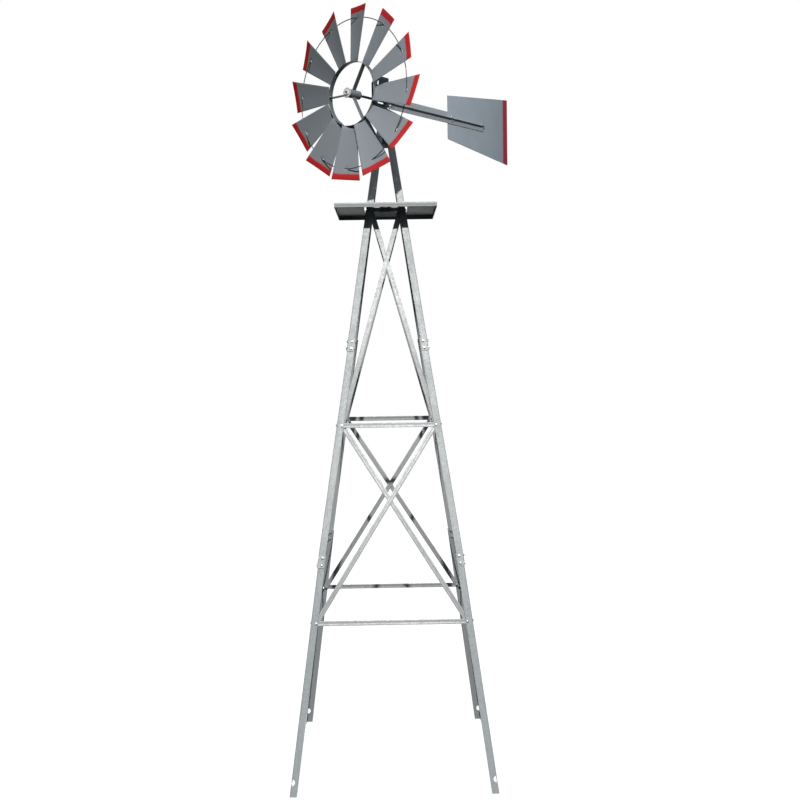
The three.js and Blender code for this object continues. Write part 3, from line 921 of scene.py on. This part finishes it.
def buildHeadBracket():
    g = strapSizes
    low, high = nodeBox("head_bracket", headPlace)
    top = high.z
    floorZ = nodeBox("tower_cap")[1].z + g["aboveSpindle"]
    front = low.y
    rear = front + g["depth"]
    half = g["thick"] / 2
    slopeBack, slopeDrop = g["slope"]
    path = [
        (front + half, floorZ + half),
        (rear - half, floorZ + half),
        (rear - half, top - g["rear"]),
        (rear - g["rear"], top - half),
        (front + slopeBack, top - half),
        (front + half, top - slopeDrop),
    ]
    path = roundCorners(path, g["bend"], 6)
    section = roundCorners(rectangle(g["width"] / 2, half), 0.5 * mm, 3)
    bm = bmesh.new()
    addSweep(bm, section, closedStations(path), closed=True)
    linkPiece("head_strap", bm, "head", slatePaint, headPlace, ["head_bracket"])
    tube = bmesh.new()
    outer, bore, chamfer = tubeSizes["outer"], tubeSizes["bore"], tubeSizes["chamfer"]
    tubeTop = floorZ + 0.2 * mm
    profile = [(bore, low.z), (outer - chamfer, low.z), (outer, low.z + chamfer)]
    addTurned(tube, profile + [(outer, tubeTop), (bore, tubeTop)])
    weldPlace = Matrix.Translation((0, 0, floorZ - 0.6 * mm))
    addWeld(tube, outer + 0.2 * mm, tubeSizes["weld"], weldPlace)
    linkPiece("pivot_tube", tube, "head", slatePaint, headPlace)
    tongues = bmesh.new()
    t = tongueSizes
    joined = 1 * mm
    reach, high = high.y - rear + joined, t["halfHigh"]
    outline = [(0, -high), (reach, -high), (reach, high), (0, high)]
    outline = roundCorners(outline, [0, t["corner"], t["corner"], 0])
    for side in (-1, 1):
        tongue = plateMesh("tongue", outline, [], t["sheet"], 0.2 * mm)
        addMesh(tongues, tongue, sidePlace(0, rear - joined, shaftHeight + side * t["fromShaft"]))
    linkPiece("boom_tongues", tongues, "head", slatePaint, headPlace)
    bushes = bmesh.new()
    r = shaftSizes["radius"] + 0.3 * mm
    wall, collar = shaftSizes["bush"], shaftSizes["flange"]
    inner, outer = -half - 2 * mm, half + 1.6 * mm
    profile = [(r, inner), (wall, inner), (wall, half), (collar, half)]
    profile += [(collar, outer - 0.4 * mm), (collar - 0.4 * mm, outer), (r, outer)]
    for y in (front + half, rear - half):
        addTurned(bushes, profile, Matrix.Translation((0, 0, shaftHeight)) @ axlePlace(y))
    linkPiece("shaft_bushes", bushes, "head", bushMetal, headPlace)
    print("head bracket bent and welded")


buildHeadBracket()

# hood: a small folded sheet over the bracket
hoodSizes = {
    "sheet": 1.2 * mm,
    "fold": 2.5 * mm,
    "lip": 6 * mm,
    "screwIn": 9 * mm,
    "screwUp": 5 * mm,
    "screwDome": ((0, -0.4), (3, -0.4), (3, 0.3), (2.2, 1.3), (1, 1.8), (0, 1.9)),
}


def buildHood():
    low, high = nodeBox("head_hood", headPlace)
    g = hoodSizes
    t = g["sheet"]
    lip = high.z - g["lip"]
    outerHalf, innerHalf = high.x, high.x - t
    fold, bare = g["fold"], 0.3 * mm
    corners = [
        (-outerHalf, lip),
        (-innerHalf, lip),
        (-innerHalf, high.z - t),
        (innerHalf, high.z - t),
        (innerHalf, low.z),
        (outerHalf, low.z),
        (outerHalf, high.z),
        (-outerHalf, high.z),
    ]
    outline = roundCorners(corners, [bare, bare, fold - t, fold - t, bare, bare, fold, fold])
    bm = bmesh.new()
    addSweep(bm, outline, [axlePlace(y) for y in (high.y, low.y)])
    linkPiece("hood_sheet", bm, "head", hoodPaint, headPlace, ["head_hood"])
    screws = bmesh.new()
    for y in (low.y + g["screwIn"], high.y - g["screwIn"]):
        place = sidePlace(outerHalf, y, low.z + g["screwUp"])
        addTurned(screws, [(r * mm, h * mm) for r, h in g["screwDome"]], place, 20)
    linkPiece("hood_screws", screws, "head", shaftSteel, headPlace)
    print("hood folded")


buildHood()

# boom and vane
boomSizes = {
    "thick": 1.5 * mm,
    "heel": 1.8 * mm,
    "root": 1.2 * mm,
    "toe": 0.6 * mm,
    "vaneBolts": (348 * mm, 522 * mm),
    "vaneBoltRise": (4.5 * mm, -8 * mm),
    "rootBolt": (29 * mm, -9 * mm),
    "vaneBand": 27 * mm,
}


def angleOutline(node):
    low, high = nodeBox(node, headPlace)
    t = boomSizes["thick"]
    upper = node == "boom_upper"
    heelX, toeX = (high.x, low.x) if upper else (low.x, high.x)
    heelZ, toeZ = (low.z, high.z) if upper else (high.z, low.z)
    sx = 1 if toeX > heelX else -1
    sz = 1 if toeZ > heelZ else -1
    corners = [
        (heelX, heelZ),
        (heelX, toeZ),
        (heelX + sx * t, toeZ),
        (heelX + sx * t, heelZ + sz * t),
        (toeX, heelZ + sz * t),
        (toeX, heelZ),
    ]
    toe, sharp = boomSizes["toe"], 0.2 * mm
    radii = [boomSizes["heel"], sharp, toe, boomSizes["root"], toe, sharp]
    return roundCorners(corners, radii), low, high


def buildBoom():
    for node in ("boom_upper", "boom_lower"):
        outline, low, high = angleOutline(node)
        bm = bmesh.new()
        addSweep(bm, outline, [axlePlace(low.y), axlePlace(high.y)])
        linkPiece(node + "_angle", bm, "head", boomMetal, headPlace, [node])
    low, high = nodeBox("tail_vane", headPlace)
    frontTop, frontBottom = vaneFront()
    corners = [(low.y, frontBottom), (high.y, low.z), (high.y, high.z), (low.y, frontTop)]
    vane = plateMesh("vane", roundCorners(corners, 1.5 * mm, 3), [], high.x - low.x, 0.2 * mm)
    vane.transform(sidePlace(0, 0, 0))
    band = boomSizes["vaneBand"]
    vanePaint = sheetWithRedEdge("vane sheet", vaneSheetPaint, "Y", high.y, band, 3 * mm)
    linkPiece("tail_vane_sheet", vane, "head", vanePaint, headPlace, ["tail_vane"])
    # the vane is bolted on the upper angle, and both angles on the head's tongues
    backX = nodeBox("boom_upper", headPlace)[1].x
    frontX = nodeBox("boom_lower", headPlace)[0].x
    thick = boomSizes["thick"]
    rises = boomSizes["vaneBoltRise"]
    rootY, rootRise = boomSizes["rootBolt"]
    bolts = []
    for y in boomSizes["vaneBolts"]:
        bolts += [(high.x, y, rises[0]), (frontX + thick, y, rises[1])]
    bolts += [(frontX + thick, rootY, rootRise), (high.x, rootY, -rootRise)]
    spots = []
    for x, y, rise in bolts:
        grip = x - backX + (thick if rise > 0 else 0)
        spots.append((headPlace @ sidePlace(x, y, shaftHeight + rise), grip, None))
    boltGroup("boom_bolts", spots, "head")
    print("boom and vane hung")


def vaneFront():
    level = headPlace.inverted()
    spots = [level @ v.co for v in frame["nodes"]["tail_vane"].data.vertices]
    frontY = min(p.y for p in spots)
    heights = [p.z for p in spots if p.y < frontY + 1 * mm]
    return max(heights), min(heights)


buildBoom()

# wheel: ring, spokes and hub
wheelSizes = {
    "ringThick": 1.6 * mm,
    "ringHalf": 8.5 * mm,
    "ringBack": 3 * mm,  # the ring and spokes stand this far behind the blades' middle
    "edge": 0.5 * mm,
    "spokeWidth": 15 * mm,
    "spokeThick": 2.5 * mm,
    "spokeStart": 32,
    "hubRadius": 13.5 * mm,
    "hubChamfer": 1.2 * mm,
    "boreGap": 0.3 * mm,
}
bandPlace = wheelPlace @ Matrix.Translation((0, wheelSizes["ringBack"], 0))


def spokeFrame(clock):
    # local z out along a spoke at that clock angle, local y along the shaft
    return Matrix.Rotation(clock, 4, "Y")


def buildWheelFrame():
    g = wheelSizes
    low, high = nodeBox("wheel_frame", wheelPlace)
    outer = high.z
    inner = outer - g["ringThick"]
    half, e = g["ringHalf"], g["edge"]
    ring = bmesh.new()
    profile = roundCorners([(inner, -half), (outer, -half), (outer, half), (inner, half)], e, 3)
    addTurned(ring, [tuple(p) for p in profile], axlePlace(), 128)
    linkPiece("wheel_ring", ring, "wheel", wheelPaint, bandPlace, ["wheel_frame"])
    hub = bmesh.new()
    hubRadius = g["hubRadius"]
    bore = shaftSizes["radius"] + g["boreGap"]
    corners = [(bore, -high.y), (hubRadius, -high.y), (hubRadius, -low.y), (bore, -low.y)]
    hubProfile = roundCorners(corners, g["hubChamfer"], 4)
    addTurned(hub, [tuple(p) for p in hubProfile], axlePlace(), 72)
    linkPiece("wheel_hub", hub, "wheel", hubMetal, wheelPlace)
    spokes = bmesh.new()
    for k in range(3):
        turned = spokeFrame(math.radians(g["spokeStart"] + 120 * k))
        section = roundCorners(rectangle(g["spokeThick"] / 2, g["spokeWidth"] / 2), e, 3)
        ends = (hubRadius - 1 * mm, inner + 0.3 * mm)
        addSweep(spokes, section, [turned @ Matrix.Translation((0, 0, r)) for r in ends])
    linkPiece("wheel_spokes", spokes, "wheel", wheelPaint, bandPlace)
    print("wheel frame joined")


buildWheelFrame()

noseSizes = {"washerThick": 2.7 * mm, "nutFlats": 14.6 * mm, "rims": (0.5 * mm, 0.7 * mm)}


def buildShaftAndNose():
    low, high = nodeBox("wheel_shaft", wheelPlace)
    shaftEnd = high.y
    r, thread = shaftSizes["radius"], shaftSizes["thread"]
    chamfer, grooves = shaftSizes["chamfer"], shaftSizes["grooves"]
    bm = bmesh.new()
    place = axlePlace()
    threadStart = -low.y - thread
    profile = [(0, -shaftEnd), (r - chamfer, -shaftEnd), (r, -shaftEnd + chamfer), (r, threadStart)]
    for k in range(2 * grooves):
        depth = shaftSizes["grooveDepth"] if k % 2 else 0
        profile.append((r - depth, threadStart + thread * k / (2 * grooves)))
    profile += [(r - 0.7 * mm, -low.y), (0, -low.y)]
    addTurned(bm, profile, place, 32)
    linkPiece("wheel_shaft_turned", bm, "wheel", shaftSteel, wheelPlace, ["wheel_shaft"])
    low, high = nodeBox("nose_nut", wheelPlace)
    nose = bmesh.new()
    bore, washer = r + 0.3 * mm, high.z
    front = -high.y + noseSizes["washerThick"]
    rearRim, frontRim = noseSizes["rims"]
    corners = [(bore, -high.y), (washer, -high.y), (washer, front), (bore, front)]
    ring = roundCorners(corners, [0, rearRim, frontRim, 0], 3)
    addTurned(nose, [tuple(p) for p in ring], place, 64)
    addHex(nose, noseSizes["nutFlats"], front, -low.y, place, 48, bore=bore)
    linkPiece("nose_washer_and_nut", nose, "wheel", noseZinc, wheelPlace, ["nose_nut"])
    rear = bmesh.new()
    flats, start, end = shaftSizes["lockNut"]
    addHex(rear, flats, -shaftEnd + start, -shaftEnd + end, place, 48, bore=r * 0.9)
    linkPiece("shaft_lock_nut", rear, "wheel", zincBolt, wheelPlace)
    print("shaft and nose turned")


buildShaftAndNose()

# blades: pitched, slightly hollowed sheet, slotted for the rim wire
bladeSizes = {
    "count": 12,
    "start": 7.44,
    "pitch": 18.4,
    "thick": 1 * mm,
    "ringGap": 0.5 * mm,
    "rootHalf": 25.6 * mm,
    "tipHalf": 51.2 * mm,
    "tipRadius": 267.3 * mm,
    "hollow": 1.6 * mm,
    "slotHalf": 6.2 * mm,
    "slotRise": 1.7 * mm,
    "bandWidth": 20 * mm,
    "tabHalf": 9 * mm,
    "tabWidth": 6 * mm,
    "tabThick": 0.9 * mm,
    "rivetShift": 5 * mm,
    "rivetDome": ((0, -0.3), (2.4, -0.3), (2.2, 0.6), (1.3, 1.2), (0, 1.4)),
}
wireHalf = 1.5 * mm
wireRadius = (wireHigh.z - wireLow.z) / 2 - wireHalf
ringRadius = nodeBox("wheel_frame", wheelPlace)[1].z


def bladeMesh():
    g = bladeSizes
    root = ringRadius + g["ringGap"]
    wireShare = (wireRadius - root) / (g["tipRadius"] - root)
    slotShare = g["slotHalf"] / (g["rootHalf"] + (g["tipHalf"] - g["rootHalf"]) * wireShare)
    oneSide = [slotShare / 2, slotShare, 0.34, 0.5, 0.68, 0.85, 1]
    columns = [-u for u in reversed(oneSide)] + [0] + oneSide
    slotRows = [wireRadius - g["slotRise"], wireRadius + g["slotRise"]]
    rows = [root + (slotRows[0] - root) * k / 9 for k in range(9)] + slotRows
    rows += [slotRows[1] + (g["tipRadius"] - slotRows[1]) * k / 3 for k in (1, 2, 3)]
    bm = bmesh.new()
    grid = []
    for z in rows:
        share = (z - root) / (g["tipRadius"] - root)
        half = g["rootHalf"] + (g["tipHalf"] - g["rootHalf"]) * share
        line = []
        for u in columns:
            x = u * half
            dish = g["hollow"] * (0.4 + 0.6 * share) * (1 - u * u)
            fall = root - math.sqrt(root * root - x * x) if z == root else 0
            line.append(bm.verts.new((x, dish, z - fall)))
        grid.append(line)
    slotRow = rows.index(slotRows[0])
    slotColumns = [i for i, u in enumerate(columns) if abs(u) <= slotShare + 1e-6]
    for i in range(len(rows) - 1):
        for k in range(len(columns) - 1):
            if i == slotRow and k in slotColumns and k + 1 in slotColumns:
                continue
            bm.faces.new((grid[i][k], grid[i][k + 1], grid[i + 1][k + 1], grid[i + 1][k]))
    bm.transform(Matrix.Rotation(-math.radians(g["pitch"]), 4, "Z"))
    sheet = newObject("blade form", meshFrom(bm, "blade form"))
    wall = sheet.modifiers.new("wall", "SOLIDIFY")
    wall.thickness = g["thick"]
    wall.offset = 0
    soft = sheet.modifiers.new("edge", "BEVEL")
    soft.width = 0.25 * mm
    soft.segments = 2
    soft.limit_method = "ANGLE"
    soft.angle_limit = math.radians(50)
    mesh = shapeOf(sheet)
    bpy.data.objects.remove(sheet)
    mesh.name = "blade"
    return mesh


def bladeClock(k):
    return math.radians(bladeSizes["start"] + 360 * k / bladeSizes["count"])


def buildBlades():
    g = bladeSizes
    paint = sheetWithRedEdge("blade sheet", sheetPaint, "Z", g["tipRadius"], g["bandWidth"], 4 * mm)
    mesh = bladeMesh()
    for k in range(g["count"]):
        place = wheelPlace @ spokeFrame(bladeClock(k))
        node = "blade_" + str(k + 1)
        linkPiece(node + "_sheet", mesh.copy(), "wheel", paint, place, [node], smooth=40)
    print("blades pressed")


buildBlades()


def hoopStation(clock, radius):
    # a station of a sweep round the wheel: local x points out, local y along the shaft
    outward = Vector((math.sin(clock), 0, math.cos(clock)))
    return basis(outward, back, outward.cross(back), outward * radius)


def buildRimWire():
    bm = bmesh.new()
    steps = 240
    stations = [hoopStation(2 * math.pi * k / steps, wireRadius) for k in range(steps)]
    addSweep(bm, circle(0, 0, wireHalf, 12), stations, closed=True)
    linkPiece("rim_wire_drawn", bm, "wheel", wireSteel, wheelPlace, ["rim_wire"], smooth=60)
    print("rim wire bent")


buildRimWire()


# rivets through the ring into each blade's foot, and the tabs that they hold
def buildBladeFeet():
    g = bladeSizes
    tabs = bmesh.new()
    rivets = bmesh.new()
    tabReach = g["tabHalf"] / ringRadius
    tabSection = roundCorners(rectangle(g["tabThick"] / 2, g["tabWidth"]), 0.2 * mm, 2)
    tabRadius = ringRadius + g["tabThick"] / 2 + 0.1 * mm
    for k in range(g["count"]):
        clock = bladeClock(k)
        clocks = [clock - tabReach + 2 * tabReach * s / 6 for s in range(7)]
        addSweep(tabs, tabSection, [hoopStation(a, tabRadius) for a in clocks])
        for shift in (-g["rivetShift"], g["rivetShift"]):
            a = clock + shift / ringRadius
            inward = Vector((-math.sin(a), 0, -math.cos(a)))
            spot = inward * -(ringRadius - wheelSizes["ringThick"])
            place = basis(back, inward.cross(back), inward, spot)
            addTurned(rivets, [(r * mm, h * mm) for r, h in g["rivetDome"]], place, 16)
    linkPiece("blade_feet", tabs, "wheel", wheelPaint, bandPlace)
    linkPiece("ring_rivets", rivets, "wheel", wheelPaint, bandPlace)
    print("blades riveted")


buildBladeFeet()

# studio: a pale floor, a crisp lamp high in front, a weak one behind and a sky that is dim below
studio = {
    "floorSide": 14,
    "floorColor": (1.0, 1.0, 1.0),
    "floorGlow": 1.0,
    "skyAxis": (0.30, -0.18, 0.93),
    "skyStops": ((0.0, 0.01), (0.45, 0.02), (0.55, 0.06), (0.66, 0.16), (0.82, 0.48), (1.0, 0.75)),
    "skyColor": (0.80, 0.91, 1.0),
    "skyStrength": 0.7,
    "backAxis": (0.1, 1.0, -0.12),
    "backReach": (0.80, 1.0),
    "backStrength": 0.75,
}
lamps = [
    {
        "name": "lamp",
        "toward": (0.0, -0.84, 0.53),
        "angle": 1.6,
        "strength": 3.1,
        "color": (1.0, 0.985, 0.96),
    },
    {
        "name": "rear_fill",
        "toward": (0.0, 0.95, 0.3),
        "angle": 14,
        "strength": 0.8,
        "color": (0.95, 0.98, 1.0),
    },
]


def buildStudio():
    side = studio["floorSide"] / 2
    bm = bmesh.new()
    bm.faces.new([bm.verts.new((x, y, -0.4 * mm)) for x, y in rectangle(side, side)])
    mesh = bpy.data.meshes.new("floor")
    bm.to_mesh(mesh)
    bm.free()
    floor = newObject("floor", mesh)
    n = Nodes("pale floor", (0.12, 0.12, 0.12), 0, 0.9)
    glow = n.mix(n.noise(3, 3), studio["floorColor"], tuple(c * 0.985 for c in studio["floorColor"]))
    n.link(glow, n.shader.inputs["Emission Color"])
    n.shader.inputs["Emission Strength"].default_value = studio["floorGlow"]
    n.shader.inputs["Specular IOR Level"].default_value = 0
    mesh.materials.append(n.finish())
    floor.visible_glossy = False
    floor.visible_diffuse = False


def buildLamps():
    for setup in lamps:
        data = bpy.data.lights.new(setup["name"], "SUN")
        data.angle = math.radians(setup["angle"])
        data.energy = setup["strength"]
        data.color = setup["color"]
        lamp = newObject(setup["name"], data)
        away = -Vector(setup["toward"])
        lamp.matrix_world = away.to_track_quat("-Z", "Y").to_matrix().to_4x4()


def buildSky():
    world = bpy.data.worlds.new("studio")
    bpy.context.scene.world = world
    world.use_nodes = True
    tree = world.node_tree
    tree.nodes.clear()
    add = tree.nodes.new
    link = tree.links.new
    coords = add("ShaderNodeTexCoord")

    def facing(axis, low, high, most):
        lean = add("ShaderNodeVectorMath")
        lean.operation = "DOT_PRODUCT"
        lean.inputs[1].default_value = Vector(axis).normalized()
        link(coords.outputs["Generated"], lean.inputs[0])
        spread = add("ShaderNodeMapRange")
        spread.inputs["From Min"].default_value = low
        spread.inputs["From Max"].default_value = high
        spread.inputs["To Max"].default_value = most
        link(lean.outputs["Value"], spread.inputs["Value"])
        return spread.outputs["Result"]

    ramp = add("ShaderNodeValToRGB")
    stops = studio["skyStops"]
    while len(ramp.color_ramp.elements) < len(stops):
        ramp.color_ramp.elements.new(0.5)
    for element, (at, bright) in zip(ramp.color_ramp.elements, stops):
        element.position = at
        element.color = (*(bright * c for c in studio["skyColor"]), 1)
    link(facing(studio["skyAxis"], -1, 1, 1), ramp.inputs["Fac"])
    sky = add("ShaderNodeBackground")
    sky.inputs["Strength"].default_value = studio["skyStrength"]
    link(ramp.outputs["Color"], sky.inputs["Color"])
    # a weak glow low behind the tower, which shows in the underside of the platform
    glow = add("ShaderNodeBackground")
    behind = facing(studio["backAxis"], *studio["backReach"], studio["backStrength"])
    link(behind, glow.inputs["Strength"])
    both = add("ShaderNodeAddShader")
    link(sky.outputs["Background"], both.inputs[0])
    link(glow.outputs["Background"], both.inputs[1])
    backdrop = add("ShaderNodeBackground")
    backdrop.inputs["Color"].default_value = (1, 1, 1, 1)
    seen = add("ShaderNodeLightPath")
    blend = add("ShaderNodeMixShader")
    link(seen.outputs["Is Camera Ray"], blend.inputs["Fac"])
    link(both.outputs["Shader"], blend.inputs[1])
    link(backdrop.outputs["Background"], blend.inputs[2])
    out = add("ShaderNodeOutputWorld")
    link(blend.outputs["Shader"], out.inputs["Surface"])


buildStudio()
buildLamps()
buildSky()
bpy.context.scene.view_settings.view_transform = "Standard"
print("studio lit")
